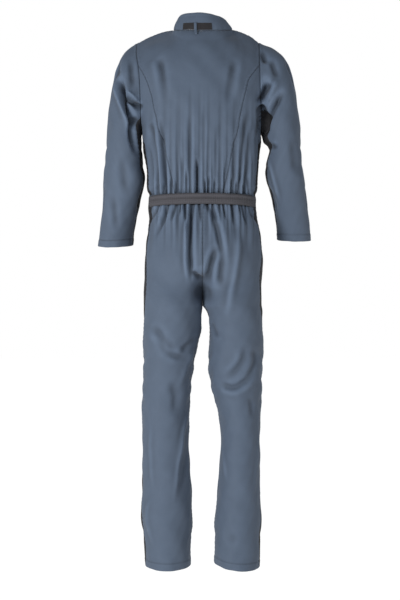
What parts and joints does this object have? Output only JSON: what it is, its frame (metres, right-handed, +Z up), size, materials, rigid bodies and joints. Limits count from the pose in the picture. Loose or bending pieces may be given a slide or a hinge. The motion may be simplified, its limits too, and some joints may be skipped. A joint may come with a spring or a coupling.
{
  "type": "boiler suit",
  "caption": "One-piece work boiler suit, hollow and filled out as if worn, with long sleeves, a stand collar, an elastic back waist, black side strips and a front zip.",
  "frame": {"origin": "middle of the neck, level with the collar seam at the middle of the back, where the wearer holds the suit up", "axes": "+Z up, +Y the way the wearer faces (the suit's front), +X to the wearer's right"},
  "size_m": [0.6024, 0.2541, 1.514],
  "materials": {
    "twill": "slate blue-grey twill, matt with a slight sheen",
    "black_twill": "black twill, matt",
    "elastic": "ribbed grey-brown elastic, matt",
    "black_tape": "black woven tape",
    "zip_coil": "black plastic coil",
    "zip_metal": "dark nickel"
  },
  "bodies": {
    "suit": {"back_centre": "twill", "back_side_left": "twill", "back_side_right": "twill", "front_left": "twill", "front_right": "twill", "front_leg_left": "twill", "front_leg_right": "twill", "back_leg_left": "twill", "back_leg_right": "twill", "sleeve_left": "twill", "sleeve_right": "twill", "collar": "twill", "side_strip_left": "black_twill", "side_strip_right": "black_twill", "sleeve_under_left": "black_twill", "sleeve_under_right": "black_twill", "neck_label": "black_tape", "hanger_loop": "twill", "zip_tape": "black_tape", "zip_chain": "zip_coil", "zip_slider": "zip_metal", "waistband": "elastic"},
    "zip_pull": {"zip_pull": "zip_metal"}
  },
  "joints": [
    {"name": "pull_swing", "type": "hinge", "parent": "suit", "child": "zip_pull", "pos_m": [0, 0.05534, 0.00566], "axis": [1, 0, 0], "range_deg": [0, 150]}
  ]
}
